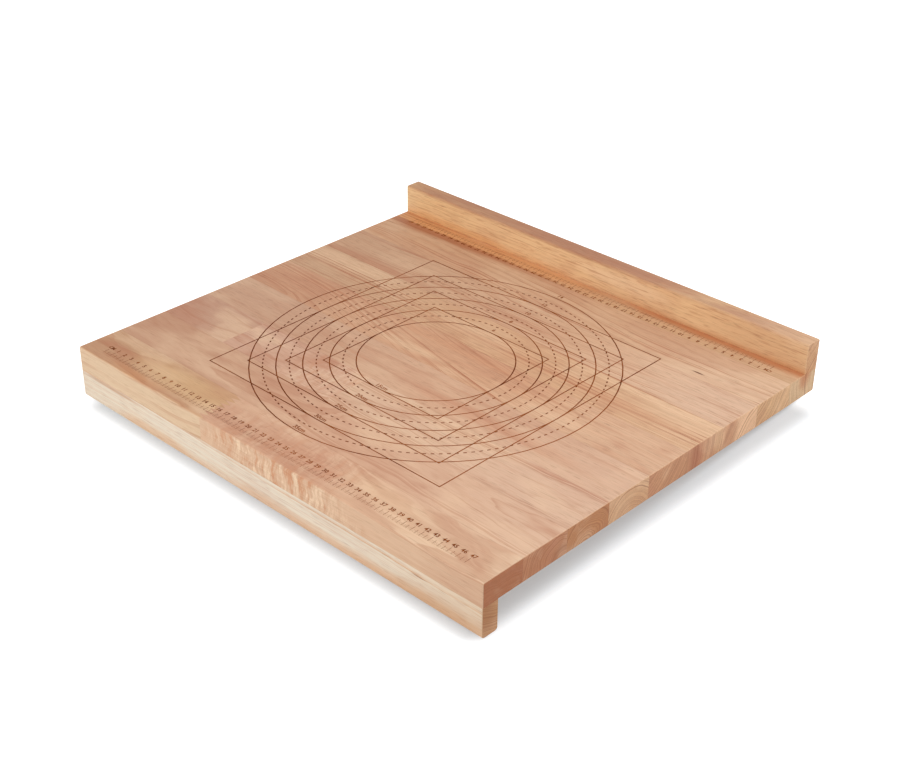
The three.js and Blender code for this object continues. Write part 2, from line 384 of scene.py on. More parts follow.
def late_wood(g, wood, count):
    """How much late wood shows at a point. The way through a ring, raised to a power, darkens it until
    it stops: a fine line with a little of a broader band on a face, and the band alone on end grain."""
    within = g.math("FRACT", count)
    each_ring = {"W": g.math("ADD", g.math("FLOOR", count), g.seed)}
    strength = g.node("ShaderNodeTexWhiteNoise", each_ring, noise_dimensions="1D")
    stop = g.ramp(within, *RING_STOP, 1.0, 0.0)
    band = g.math("MULTIPLY", g.math("POWER", within, BAND_POWER), stop)
    line = g.math("MULTIPLY", g.math("POWER", within, LINE_POWER), stop)
    fade = g.ramp(g.uneven("fade"), *FADE_RANGE, FADED * wood.figure, wood.figure)
    on_face = g.math("MULTIPLY", g.math("MULTIPLY_ADD", strength, 1 - FAINTEST_RING, FAINTEST_RING), fade)
    on_face = g.math("MULTIPLY", on_face, g.math("MULTIPLY_ADD", band, BAND_SHARE, line))
    on_end = g.math("MULTIPLY", g.math("MULTIPLY_ADD", strength, END_FIGURE / 2, END_FIGURE / 2), band)
    return g.math("MULTIPLY_ADD", g.end_grain, g.math("SUBTRACT", on_end, on_face), on_face)


# %% [markdown]
# ## Tint, clouds, stains and painted shade
# Under the lines lies the colour of the wood, and in this board it is never even: it turns along a stave,
# swirls here and there, and has patches of cream, yellow and red. A single noise between two colours
# would give the swirls but not the patches in their places, so the patches are set one by one, as stains
# with frayed edges. The same frayed patches also paint shade along the foot of the stop.

# %% Ground tint
PALE_WOOD = (232, 198, 164)
DEEP_WOOD = (180, 122, 94)
TURN_BLUR = 0.3
LEFT_TURN = (0.0, 0.55)
RIGHT_TURN = (0.6, 1.0)
SWEEP = (0.16, 0.09, 0.09)
PALE_CLOUDS = (0.48, 0.68)
DEEP_CLOUDS = (0.5, 0.34)
FRONT_SHARE = 0.9


def ground_tint(g, wood):
    """The colour under the lines: left, middle and right tints in turn along the board, their borders
    blurred by noise; the end grain's own; swirls where swept noise is high or low; and the front's
    own."""
    turn = g.math("MULTIPLY_ADD", g.uneven("blotch"), TURN_BLUR, g.math("SUBTRACT", g.along, TURN_BLUR / 2))
    tint = g.mix(g.ramp(turn, *LEFT_TURN), linear(wood.left), linear(wood.middle))
    tint = g.mix(g.ramp(turn, *RIGHT_TURN), tint, linear(wood.right))
    tint = g.mix(g.end_grain, tint, linear(wood.end))
    feather = g.uneven("feather", g.vector("MULTIPLY_ADD", g.push("sweep"), SWEEP, g.place))
    tint = g.mix(g.ramp(feather, *PALE_CLOUDS, 0.0, wood.swirl), tint, linear(PALE_WOOD))
    tint = g.mix(g.ramp(feather, *DEEP_CLOUDS, 0.0, wood.swirl), tint, linear(DEEP_WOOD))
    if wood.front:
        tint = g.mix(g.math("MULTIPLY", g.front_face, FRONT_SHARE), tint, linear(wood.front))
    return tint


# %% Stains and painted shade
STAIN_EDGE = (0.3, 1.1)


def stained(g, wood, tint):
    """Each patch of stain and of painted shade over a tint. Distance from its middle, as a part of its
    reach, and frayed by the clouds, takes it from its full amount to nothing."""
    fray = g.math("SUBTRACT", g.cloud, NOISE_MEAN)
    for spot in wood.stains:
        away = g.vector("SUBTRACT", g.place, tuple(v * MM for v in spot.middle))
        away = g.vector("DIVIDE", away, tuple(v * MM for v in spot.reach))
        away = g.math("ADD", g.vector("LENGTH", away, output="Value"), fray)
        tint = g.mix(g.ramp(away, *STAIN_EDGE, spot.amount, 0.0), tint, linear(spot.tint))
    return tint


# %% [markdown]
# ## Curl
# Where grain grows in waves, light and warm bars lie across the stave, as on the front of the board. They
# are in the wood and not on it, so bump would be the wrong way: they are a noise that is short along the
# grain and long across it, shown around one place, with one strength on the front face and another
# elsewhere.

# %% Wavy grain
PALE_CURL = (236, 206, 172)
WARM_CURL = (198, 132, 90)
CURL_PUSH = 10 * MM
CURL_FRAY = 1.2
CURL_EDGE = (0.5, 1.1)
PALE_BARS = (0.5, 0.64)
WARM_BARS = (0.5, 0.38)


def curled(g, wood, tint):
    """Bars over a tint, pale where the noise is high and warm where it is low. Distance from the curl's
    middle, as a part of its half length, and frayed by the clouds, takes them to nothing."""
    middle, half, on_front, elsewhere = wood.curl
    shows = g.math("MULTIPLY_ADD", g.front_face, on_front - elsewhere, elsewhere)
    wave = g.uneven("curl", g.vector("MULTIPLY_ADD", g.ripple, (CURL_PUSH, 0, 0), g.place))
    near = g.math("ABSOLUTE", g.math("MULTIPLY_ADD", g.x, 1 / (half * MM), -middle / half))
    near = g.math("MULTIPLY_ADD", g.cloud, CURL_FRAY, g.math("SUBTRACT", near, CURL_FRAY / 2))
    reach = g.math("MULTIPLY", g.ramp(near, *CURL_EDGE, 1.0, 0.0), shows)
    tint = g.mix(g.math("MULTIPLY", reach, g.ramp(wave, *PALE_BARS)), tint, linear(PALE_CURL))
    return g.mix(g.math("MULTIPLY", reach, g.ramp(wave, *WARM_BARS)), tint, linear(WARM_CURL))


# %% [markdown]
# ## A piece of wood, grown and sanded
# The layers come together from the ground up: tint, stains and painted shade, curl, rings, flecks, a
# paler painted highlight on the arris at each end, fibres and pores. The board is sanded and oiled, so it
# has a soft sheen, a little rougher in the pores. The pores could be cut into the mesh, but they are finer
# than any mesh should be, so a bump of a few hundredths of a millimetre does it.

# %% Wood
CREAM = (228, 192, 156)
END_LATE = (128, 70, 40)
FLECK = (166, 98, 62)
FLECK_RANGE = (0.55, 0.7)
PORE = (116, 70, 46)
PORE_RANGE = (0.6, 0.75)
PORE_PATCHES = (0.4, 0.6)
FEWEST_PORES = 0.3
PORE_SHOWS = 0.3
FIBRE_STREAK = 0.2
FINE_STREAK = 0.16
STREAK_MEAN = (FIBRE_STREAK + FINE_STREAK) / 2
OILED_ROUGHNESS = 0.45
ROUGHER = 0.15
OILED_GLOSS = 0.2
FINE_HEIGHT = 0.4
BUMP_STRENGTH = 0.25
BUMP_DEPTH = 0.05 * MM


def grown_wood(name, wood, middle, seed):
    """The material of one piece whose solid has the given middle. Fibres and pores are noise drawn out
    along the grain; fibres lighten and darken the tint by a few parts in a hundred around one."""
    g = Grain(name, seed)
    fibre = g.uneven("fibre")
    fine = g.uneven("fine")
    fleck = g.ramp(g.uneven("fleck"), *FLECK_RANGE, 0.0, wood.fleck)
    patch = g.ramp(g.uneven("pore_patch"), *PORE_PATCHES, FEWEST_PORES, 1.0)
    pore = g.math("MULTIPLY", g.ramp(g.uneven("pore"), *PORE_RANGE), patch)

    tint = stained(g, wood, ground_tint(g, wood))
    if wood.curl:
        tint = curled(g, wood, tint)
    late = late_wood(g, wood, ring_count(g, wood, middle))
    tint = g.mix(late, tint, g.mix(g.end_grain, linear(wood.late), linear(END_LATE)))
    tint = g.mix(fleck, tint, linear(FLECK))
    # Painted highlight: the arris at each end turns cream.
    tint = g.mix(g.arris, tint, linear(CREAM))
    streak = g.math("ADD", g.math("MULTIPLY", fibre, FIBRE_STREAK), g.math("MULTIPLY", fine, FINE_STREAK))
    streak = g.math("MULTIPLY_ADD", streak, wood.fibre, 1 - STREAK_MEAN * wood.fibre)
    tint = g.mix(1.0, tint, streak, "MULTIPLY")
    tint = g.mix(g.math("MULTIPLY", pore, PORE_SHOWS * wood.fibre), tint, linear(PORE))

    rough = g.math("MULTIPLY_ADD", fibre, ROUGHER, OILED_ROUGHNESS)
    height = g.math("MULTIPLY_ADD", pore, -1.0, g.math("MULTIPLY", fine, FINE_HEIGHT))
    bump = {"Strength": BUMP_STRENGTH, "Distance": BUMP_DEPTH, "Height": height}
    g.feed(g.surface.inputs["Base Color"], tint)
    g.feed(g.surface.inputs["Roughness"], g.math("MULTIPLY_ADD", pore, ROUGHER, rough))
    g.feed(g.surface.inputs["Normal"], g.node("ShaderNodeBump", bump))
    g.surface.inputs["Specular IOR Level"].default_value = OILED_GLOSS
    return g.owner


# %% [markdown]
# ## The front staves
# The wood of each piece is read from the front of the board to the rear. The front stave is two blocks: a
# yellowish one at the left, and a curly one. The second is calm. The third is three blocks, blotchy in
# the middle. All are flat-sawn, with the pith below the board, so their lines are few and wide.

# %% Wood of the front staves
YELLOW = (212, 172, 126)
woods = {}
woods["stave_1_a"] = Wood(
    left=(192, 148, 114), middle=(202, 157, 119), right=(208, 166, 128), end=(161, 99, 63),
    pith_left=(4, -70), pith_right=(0, -40), ring=10, figure=0.6, waver=8, swirl=0.55, fleck=0.1, fibre=0.7,
    front=(216, 186, 152),
    stains=(
        Stain((-130, -203, 24), (100, 20, 30), YELLOW, 0.55),
        Stain((-180, -225, 28), (60, 9, 8), (200, 138, 92), 0.6),
    ),
)
woods["stave_1_b"] = Wood(
    left=(205, 155, 125), middle=(209, 165, 136), right=(218, 184, 154), end=(161, 99, 63),
    pith_left=(6, -60), pith_right=(-6, -75), ring=8, figure=0.4, waver=10, swirl=0.35, fleck=0.1,
    curl=(20, 110, 0.75, 0.2), fibre=0.6, front=(211, 173, 141),
    stains=(
        Stain((35, -205, 24), (45, 18, 30), (200, 146, 116), 0.5),
        Stain((130, -200, 24), (60, 16, 30), CREAM, 0.35),
        Stain((190, -215, 24), (60, 14, 30), CREAM, 0.2),
        Stain((252, -229.5, 10), (60, 1, 30), (200, 158, 128), 0.6),
    ),
)
woods["stave_2"] = Wood(
    left=(192, 146, 117), middle=(207, 163, 134), right=(212, 175, 148), end=(179, 122, 86),
    pith_left=(-16, -48), pith_right=(20, -30), ring=8, figure=0.45, waver=9, swirl=0.4, fibre=0.5,
    stains=(
        Stain((262, -186, 12), (1, 40, 30), (164, 102, 66), 0.4),
    ),
)
woods["stave_3_a"] = Wood(
    left=(191, 147, 122), middle=(202, 157, 130), right=(206, 162, 134), end=(175, 118, 76),
    pith_left=(0, -14), pith_right=(4, -22), ring=8, figure=0.5, waver=8, swirl=0.5, fibre=0.7,
)
woods["stave_3_b"] = Wood(
    left=(205, 162, 137), middle=(210, 167, 140), right=(209, 165, 138), end=(175, 118, 76),
    pith_left=(4, -16), pith_right=(-6, -26), ring=8, figure=0.7, waver=8, swirl=0.6,
    curl=(-30, 70, 0, 0.3),
)
woods["stave_3_c"] = Wood(
    left=(211, 170, 141), middle=(214, 176, 147), right=(209, 172, 146), end=(180, 123, 80),
    pith_left=(-8, -18), pith_right=(0, -10), ring=8, figure=0.8, waver=7, swirl=0.3, fibre=0.9,
    stains=(
        Stain((80, -84, 24), (110, 14, 30), CREAM, 0.35),
    ),
)
print("recipes:", *woods)

# %% [markdown]
# ## The middle staves
# The fourth stave is flat-sawn, with its pith just below. The fifth's pith lies above its front edge and
# climbs away to the right, so its lines slant. The sixth is quarter-sawn: its pith is far off to the
# front, and its lines run straight and dark.

# %% Wood of the middle staves
woods["stave_4"] = Wood(
    left=(197, 155, 127), middle=(204, 160, 130), right=(207, 168, 141), end=(202, 156, 116),
    pith_left=(6, -26), pith_right=(2, -22), ring=9, figure=0.5, waver=3, swirl=0.25, fibre=1.1,
    stains=(
        Stain((110, -58, 24), (130, 14, 30), (196, 142, 112), 0.6),
    ),
)
woods["stave_5"] = Wood(
    left=(198, 149, 117), middle=(207, 160, 126), right=(209, 169, 138), end=(191, 139, 102),
    pith_left=(-20, 20), pith_right=(-66, 60), ring=5, figure=1.15, waver=3, swirl=0.35, fibre=1.2,
    settle=0.8, end_ring=4,
    stains=(
        Stain((-40, -8, 24), (60, 8, 30), CREAM, 0.5),
        Stain((10, 22, 24), (110, 12, 30), (198, 140, 104), 0.4),
    ),
)
woods["stave_6"] = Wood(
    left=(199, 159, 126), middle=(208, 163, 126), right=(210, 170, 135), end=(191, 139, 103),
    pith_left=(-130, 10), pith_right=(-142, 14), ring=5, figure=2.0, waver=3, swirl=0.3, end_ring=3.2,
    stains=(
        Stain((-225, 72, 24), (110, 17, 30), CREAM, 0.6),
        Stain((130, 50, 24), (210, 10, 30), (198, 140, 104), 0.35),
        Stain((190, 77, 24), (140, 9, 30), CREAM, 0.6),
        Stain((262, 41, 12), (1, 13, 30), (166, 104, 76), 0.8),
        Stain((262, 76, 12), (1, 8, 30), (212, 168, 128), 0.7),
    ),
)
print("recipes so far:", len(woods))

# %% [markdown]
# ## The rear staves
# The seventh and eighth are cut between the two ways, and their lines drift. The eighth has a small dark
# pocket near its right end. The last is quarter-sawn, with fine even lines, and is the warmest in colour.
# Along the foot of the stop it carries a strip of painted shade, darker and redder, as if warmed by light
# bounced off the stop.

# %% Wood of the rear staves
REDDISH = (174, 110, 80)
woods["stave_7"] = Wood(
    left=(197, 155, 123), middle=(208, 165, 132), right=(212, 175, 147), end=(225, 181, 143),
    pith_left=(60, -70), pith_right=(80, -60), ring=8, figure=1.5, waver=6, swirl=0.15, end_ring=5,
    fibre=1.2,
    stains=(
        Stain((-200, 91, 24), (130, 9, 30), REDDISH, 0.45),
        Stain((262, 92, 12), (1, 14, 30), (180, 126, 92), 0.7),
    ),
)
woods["stave_8"] = Wood(
    left=(206, 160, 124), middle=(208, 165, 131), right=(219, 183, 152), end=(211, 168, 125),
    pith_left=(-50, 60), pith_right=(-70, 70), ring=8, figure=1.3, waver=7, swirl=0.25, end_ring=4,
    fibre=1.0,
    stains=(
        Stain((-170, 193, 24), (190, 14, 30), (172, 104, 66), 0.85),
        Stain((188.9, 144.1, 24), (7.5, 1.1, 3), (92, 44, 24), 1.0),
    ),
)
woods["stave_9"] = Wood(
    left=(219, 158, 105), middle=(209, 168, 130), right=(209, 173, 139), end=(213, 180, 140),
    pith_left=(120, 12), pith_right=(140, 10), ring=5, figure=0.9, waver=2, swirl=0.12, fleck=0.3,
    end_ring=2.6,
    stains=(
        Stain((-70, 204, 24), (130, 15, 30), (216, 154, 102), 0.8),
        Stain((-170, 191, 24), (190, 6, 30), (172, 104, 66), 0.8),
        # Painted shade, warmed as by light bounced off the stop: a darker, redder strip along the stop's
        # foot.
        Stain((180, 211, 24), (260, 13, 20), (186, 118, 74), 0.85),
    ),
)
print("recipes so far:", len(woods))

# %% [markdown]
# ## The rails
# The lip is the palest wood on the board, with peach-coloured streaks along its lower edge. The stop is
# golden, with short broken flecks, and browner on its top. Along its foot, where it meets the panel, a
# darker strip is painted shade.

# %% Wood of the rails
woods["lip_rail"] = Wood(
    left=(221, 205, 183), middle=(224, 210, 190), right=(215, 191, 164), end=(176, 126, 82),
    pith_left=(30, 130), pith_right=(40, 120), ring=5, figure=1.2, waver=3, swirl=0.15, fleck=0.2,
    late=(204, 150, 104), fibre=0.5,
    stains=(
        Stain((140, -229.5, -29), (270, 30, 14), (210, 160, 118), 0.75),
        Stain((-150, -229.5, -25), (80, 30, 8), (212, 168, 128), 0.6),
        Stain((230, -229.5, -24), (100, 30, 14), (200, 158, 122), 0.6),
        Stain((-215, -229.5, -3), (60, 30, 2.5), (178, 126, 90), 0.6),
        Stain((194, -229.5, -6.2), (11, 9, 0.8), (130, 80, 52), 0.9),
        Stain((262, -226, -10), (1, 12, 30), (150, 96, 60), 0.45),
    ),
)
woods["stop_rail"] = Wood(
    left=(226, 186, 136), middle=(228, 190, 144), right=(213, 172, 130), end=(201, 153, 110),
    pith_left=(60, -90), pith_right=(70, -80), ring=5, figure=0.4, waver=2, swirl=0.2, fleck=0.35,
    fibre=1.0,
    stains=(
        Stain((-60, 220, 57.5), (450, 40, 6), (168, 113, 86), 0.9),
        # Painted shade: darker strips along the foot of the stop's front, where it meets the panel.
        Stain((280, 211, 22), (480, 14, 9), (196, 134, 86), 0.7),
        Stain((-170, 211, 24), (150, 14, 10), (210, 146, 86), 0.5),
        Stain((-120, 211, 46), (80, 14, 9), (238, 202, 154), 0.4),
        Stain((44, 211, 42), (70, 14, 12), (238, 206, 168), 0.5),
        Stain((250, 220, 57), (70, 30, 6), (230, 194, 156), 0.25),
    ),
)
print("recipes so far:", len(woods))

# %% [markdown]
# ## Wood on the solids
# The solids are right as they are, so each keeps its mesh and gets its wood. The dowels inside are plain
# beech: they show only when the board is taken apart.

# %% Wood on the solids
for seed, (node, wood) in enumerate(woods.items(), start=1):
    low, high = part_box(node)
    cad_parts[node].material_slots[0].material = grown_wood(node, wood, (low + high) / 2, seed)

BEECH = (214, 180, 138)
beech = Wood(
    left=BEECH, middle=BEECH, right=BEECH, end=(206, 168, 124),
    pith_left=(40, 0), pith_right=(40, 0), ring=3, figure=0.25, waver=1,
)
dowels = [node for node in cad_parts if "dowel" in node]
dowel_wood = grown_wood("beech", beech, Vector(), len(woods) + 1)
for node in dowels:
    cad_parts[node].material_slots[0].material = dowel_wood
print("wood on", len(woods), "pieces and", len(dowels), "hidden dowels")

# %% [markdown]
# ## Burnt marks
# The measuring marks are burnt about a third of a millimetre deep, in grooves less than a millimetre
# wide. They could be painted in the wood's material, but paint has no depth and blurs up close, so each
# mark is a thin piece of char let into the top. Char is reddish brown, lighter where the burn was quick.


# %% Mesh from arrays
def piece(name, points, faces, material, slot):
    """A mesh piece of the board, from an array of points and a list of faces."""
    mesh = bpy.data.meshes.new(name)
    mesh.from_pydata(points.reshape(-1, 3).tolist(), [], faces)
    mesh.materials.append(material)
    made = bpy.data.objects.new(name, mesh)
    bpy.context.scene.collection.objects.link(made)
    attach(made, "root")
    print(name, len(mesh.vertices), "points,", len(mesh.polygons), "faces")


# %% Char
SPECKLES = (180, 180, 180)
HEAT = (9, 9, 9)
BURN_RANGE = (0.38, 0.62)
CHAR_ROUGHNESS = 0.75
CHAR_ROUGHER = 0.2
CHAR_GLOSS = 0.05


def burnt_wood(name, deep, quick):
    """Char, from the deep tint to the quick one by the mean of two noises: one from line to line, one
    along it."""
    s = Shader(bpy.data.materials.new(name))
    place = s.node("ShaderNodeTexCoord", {}, "Object")
    speckle = s.noise(s.vector("MULTIPLY", place, SPECKLES), layers=3.0, strength=0.6)
    heat = s.noise(s.vector("MULTIPLY", place, HEAT), layers=1.0, strength=0.5)
    burn = s.math("MULTIPLY_ADD", speckle, 0.5, s.math("MULTIPLY", heat, 0.5))
    s.feed(s.surface.inputs["Base Color"], s.mix(s.ramp(burn, *BURN_RANGE), linear(deep), linear(quick)))
    s.feed(s.surface.inputs["Roughness"], s.math("MULTIPLY_ADD", speckle, CHAR_ROUGHER, CHAR_ROUGHNESS))
    s.surface.inputs["Specular IOR Level"].default_value = CHAR_GLOSS
    return s.owner


burnt = burnt_wood("burnt", deep=(108, 50, 20), quick=(152, 88, 48))
deep_burnt = burnt_wood("deep_burnt", deep=(94, 40, 15), quick=(130, 70, 36))
print("char:", burnt.name, "and", deep_burnt.name)

# %% [markdown]
# ## Rings and squares
# Five rings and four squares are cut in the solids as grooves. A flat ribbon could fill each groove, but
# then the line would lie level with the wood. Here a thin chevron with scorched shoulders is carried
# round the groove, so that the line stays sunken and can be seen from every side.

# %% Rings and squares
RING_DIAMETERS = (150, 200, 250, 300, 350)
SQUARE_SIDES = (150, 200, 250, 300)
RING_CORNERS = 72
SQUARE_CORNERS = 4
GROOVE_WIDTH = 0.8 * MM
LINE_WIDTH = 1.15 * MM
RING_DEPTH = 0.3 * MM
SQUARE_DEPTH = 0.24 * MM
CHAR = 0.03 * MM


def looped_grid(rows, columns):
    """Quads of a grid that closes on itself both ways, as on a ring with a closed section."""
    here = np.arange(rows * columns).reshape(rows, columns)
    down = np.roll(here, -1, axis=0)
    corners = [here, down, np.roll(down, -1, axis=1), np.roll(here, -1, axis=1)]
    return np.stack(corners, axis=-1).reshape(-1, 4)


def groove_char(distance, corners, turn, depth):
    """A chevron with scorched shoulders, carried round a regular polygon whose flats lie at the given
    distance from the marks' middle. A point of the section, offset o from the flat, lies at each corner
    (distance + o) / cos(pi / corners) from that middle."""
    offset = np.array([-LINE_WIDTH, -GROOVE_WIDTH, 0, GROOVE_WIDTH, LINE_WIDTH, 0]) / 2
    height = np.array([CHAR, CHAR, CHAR - depth, CHAR, CHAR, -CHAR - depth])
    angle = turn + 2 * np.pi * np.arange(corners)[:, None] / corners
    reach = (distance + offset) / np.cos(np.pi / corners) * np.ones_like(angle)
    points = np.stack(np.broadcast_arrays(reach * np.cos(angle), reach * np.sin(angle), height), axis=-1)
    return points + np.array(marks), looped_grid(*reach.shape)[:, ::-1]


for name, sizes, corners, turn, depth in (
    ("ring", RING_DIAMETERS, RING_CORNERS, 0.0, RING_DEPTH),
    ("square", SQUARE_SIDES, SQUARE_CORNERS, math.pi / SQUARE_CORNERS, SQUARE_DEPTH),
):
    for size in sizes:
        points, faces = groove_char(size * MM / 2, corners, turn, depth)
        piece(f"{name}_{size}", points, faces.tolist(), burnt, "burnt_mark")

# %% [markdown]
# ## Dashed rings
# Half way between the rings run four dashed ones. Their dashes could be grooves as well, but some
# hundreds of short pockets would make heavy solids of the staves. A plate of six faces for each dash, let
# into the top, looks the same and costs little.

# %% Dashed rings
DASHED_DIAMETERS = (175, 225, 275, 325)
DASH = 3.1 * MM
DASH_PITCH = 7 * MM
DASH_WIDTH = 1.25 * MM
PLATE_RISE = 0.03 * MM
PLATE_SINK = 0.2 * MM
SLAB_CORNERS = 8
SLAB_FACES = np.array([[3, 2, 1, 0], [4, 5, 6, 7], [0, 1, 5, 4], [1, 2, 6, 5], [2, 3, 7, 6], [3, 0, 4, 7]])


def plates(plan):
    """Thin plates let into the top, from an array of plan outlines of four corners each, anticlockwise."""
    low = np.insert(plan, 2, top_z - PLATE_SINK, axis=-1)
    high = np.insert(plan, 2, top_z + PLATE_RISE, axis=-1)
    points = np.concatenate([low, high], axis=1)
    faces = SLAB_FACES + SLAB_CORNERS * np.arange(len(plan))[:, None, None]
    return points, faces.reshape(-1, 4).tolist()


def dashes(diameter):
    """Plan outlines of the dashes around a ring: each spans an angle of its length over the radius."""
    radius = diameter * MM / 2
    number = round(2 * math.pi * radius / DASH_PITCH)
    middle = 2 * np.pi * np.arange(number) / number
    angle = middle[:, None] + np.array([-1, 1, 1, -1]) * DASH / (2 * radius)
    reach = radius + np.array([-1, -1, 1, 1]) * DASH_WIDTH / 2
    outline = np.stack([reach * np.cos(angle), reach * np.sin(angle)], axis=-1)
    return outline[:, ::-1] + np.array(marks.xy)


for diameter in DASHED_DIAMETERS:
    piece(f"dashed_ring_{diameter}", *plates(dashes(diameter)), deep_burnt, "burnt_mark")

# %% [markdown]
# ## Rulers
# A ruler has a tick for every millimetre, longer and bolder at each fifth and tenth. An array modifier
# could repeat one tick, but not three lengths of it, so all ticks of a ruler are worked out at once and
# make one piece. The rear ruler is the front one turned half round, to be read from the other side of the
# table.

# %% Rulers: ticks
RULER_CM = 47
CENTIMETRE = 10  # in millimetres
HALF = 5
RULER_ZERO_X = -236.8 * MM
TICK_FOOT = 9.8 * MM
TICK_LENGTHS = {CENTIMETRE: 6.9 * MM, HALF: 5.2 * MM, 1: 3.6 * MM}
TICK_WIDTHS = {CENTIMETRE: 0.4 * MM, HALF: 0.34 * MM, 1: 0.08 * MM}
REAR_RULER_SHIFT = 3 * MM


def half_turn(plan):
    """A plan turned half round about the marks' middle, and moved a little to the rear."""
    return 2 * np.array(marks.xy) - plan + np.array([0, REAR_RULER_SHIFT])


def ruler_ticks():
    """Plan outlines of the millimetre ticks; those at 5 and 10 mm are longer, and all start at one foot
    line."""
    mark = np.arange(RULER_CM * CENTIMETRE + 1)
    step = np.select([mark % CENTIMETRE == 0, mark % HALF == 0], [CENTIMETRE, HALF], 1)
    length = np.vectorize(TICK_LENGTHS.get)(step)
    width = np.vectorize(TICK_WIDTHS.get)(step)
    x = RULER_ZERO_X + mark[:, None] * MM + np.array([-1, 1, 1, -1]) * width[:, None] / 2
    y = front_y + TICK_FOOT + np.array([0, 0, 1, 1]) * length[:, None]
    return np.stack([x, y], axis=-1)


ticks = ruler_ticks()
piece("front_ruler_ticks", *plates(ticks), burnt, "burnt_mark")
piece("rear_ruler_ticks", *plates(half_turn(ticks)), burnt, "burnt_mark")

# %% [markdown]
# ## Figures
# The figures are plain sans-serif numerals and units, burnt into the top beside the ticks and rings. They
# could stay text objects, but a text is placed by moving it, and every piece here keeps its place in its
# mesh. So each label is set in the built-in typeface, made a mesh, and its points are sized and moved.

# %% Glyphs
BOLDER = 0.025
CURVE_STEPS = 2


def glyphs(words):
    """Points and faces of a few figures in the built-in typeface, one unit of type high and centred."""
    curve = bpy.data.curves.new("figures", "FONT")
    curve.body = words
    curve.align_x = "CENTER"
    curve.align_y = "CENTER"
    curve.resolution_u = CURVE_STEPS
    curve.extrude = 1.0
    curve.offset = BOLDER
    carrier = bpy.data.objects.new("figures", curve)
    bpy.context.scene.collection.objects.link(carrier)
    flat = bpy.data.meshes.new_from_object(carrier.evaluated_get(bpy.context.evaluated_depsgraph_get()))
    points = np.zeros(3 * len(flat.vertices))
    flat.vertices.foreach_get("co", points)
    faces = [tuple(polygon.vertices) for polygon in flat.polygons]
    bpy.data.objects.remove(carrier)
    bpy.data.curves.remove(curve)
    bpy.data.meshes.remove(flat)
    return points.reshape(-1, 3), faces


type_height = np.ptp(glyphs("0")[0][:, 1])
print("a nought is", round(float(type_height), 3), "of a unit of type high")


# %% Labels
def lettered(name, labels, turned=False):
    """One piece of many labels, each (words, plan point, height): sized, moved to its place and let into
    the top."""
    all_points, all_faces, start = [], [], 0
    for words, place, height in labels:
        points, faces = glyphs(words)
        plan = points[:, :2] * height / type_height + np.asarray(place)
        plan = half_turn(plan) if turned else plan
        z = np.where(points[:, 2] > 0, top_z + PLATE_RISE, top_z - PLATE_SINK)
        all_points.append(np.column_stack([plan, z]))
        all_faces += [tuple(start + corner for corner in face) for face in faces]
        start += len(points)
    piece(name, np.concatenate(all_points), all_faces, burnt, "burnt_mark")


FIGURE_HEIGHT = 4.6 * MM
UNIT_HEIGHT = 0.9 * FIGURE_HEIGHT
FIGURE_ABOVE_TICKS = 3.6 * MM
figure_y = front_y + TICK_FOOT + TICK_LENGTHS[CENTIMETRE] + FIGURE_ABOVE_TICKS
figures = [
    (str(cm), (RULER_ZERO_X + cm * CENTIMETRE * MM, figure_y), FIGURE_HEIGHT)
    for cm in range(1, RULER_CM + 1)
]
figures.append(("CM", (RULER_ZERO_X, figure_y), UNIT_HEIGHT))
lettered("front_ruler_figures", figures)
lettered("rear_ruler_figures", figures, turned=True)

# %% Sizes of the rings
SIZE_HEIGHT = 5.0 * MM
SIZE_INSIDE = 4 * MM
INCH_OUTSIDE = 5.5 * MM
INCHES = (6, 8, 10, 12, 14)
sizes = [
    (f"{d // CENTIMETRE}cm", (marks.x, marks.y - d * MM / 2 + SIZE_INSIDE), SIZE_HEIGHT)
    for d in RING_DIAMETERS
]
sizes += [
    (str(inch), (marks.x, marks.y + d * MM / 2 + INCH_OUTSIDE), SIZE_HEIGHT)
    for inch, d in zip(INCHES, RING_DIAMETERS)
]
lettered("ring_sizes", sizes)

# %% [markdown]
# ## The floor
# On a flat table the board stands on its lip and on the rear edge of its underside, so it leans forward a
# little. The board could be tilted, but its frame has to stay level, so the floor slopes instead. The
# floor is matt white. What is seen of it is lifted to white, less and less towards the board, so the
# board's shadow stays under the lip and at the right. From below the floor is clear, so that the
# underside can be looked at.

# %% Floor
LIP_CONTACT = 0.9 * MM  # from the lip's rear face to where its rounded lower edge touches the floor
FLOOR_SIZE = 6.0
floor_slope = lip_bottom_z / (lip_root_y - LIP_CONTACT - rear_y)


def floor_plane():
    """A square sheet through the lip's lower rear edge and the panel's lower rear edge."""
    x, y = np.meshgrid([-FLOOR_SIZE / 2, FLOOR_SIZE / 2], [-FLOOR_SIZE / 2, FLOOR_SIZE / 2])
    points = np.stack([x, y, floor_slope * (y - rear_y)], axis=-1).reshape(-1, 3)
    mesh = bpy.data.meshes.new("floor")
    mesh.from_pydata(points.tolist(), [], [(0, 1, 3, 2)])
    floor = bpy.data.objects.new("floor", mesh)
    bpy.context.scene.collection.objects.link(floor)
    floor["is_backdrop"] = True
    return floor


floor = floor_plane()
print("floor slope", round(math.degrees(math.atan(floor_slope)), 2), "degrees")

# %% Floor paint
SHADE_RIGHT = -2 * MM  # how far the shade stands out from the board's plan at the right
SHADE_LEFT = 30 * MM  # how far it stays in at the left
SHADE_SKEW = 0.06  # how much further it stands out towards the rear, in metres to the metre
SHADE_FRONT = 1.5  # how much sooner it ends at the front
SHADE_REAR = 45 * MM  # how far it stays in at the rear
SHADE_REACH = 34 * MM  # from its edge to where the floor is white
SHADE_GLOW = 0.34  # part of the glow that is left at its edge
FLOOR_AS_LIGHT = (0.85, 0.9, 0.945, 1.0)
FLOOR_AS_SEEN = (0.43, 0.45, 0.47, 1.0)


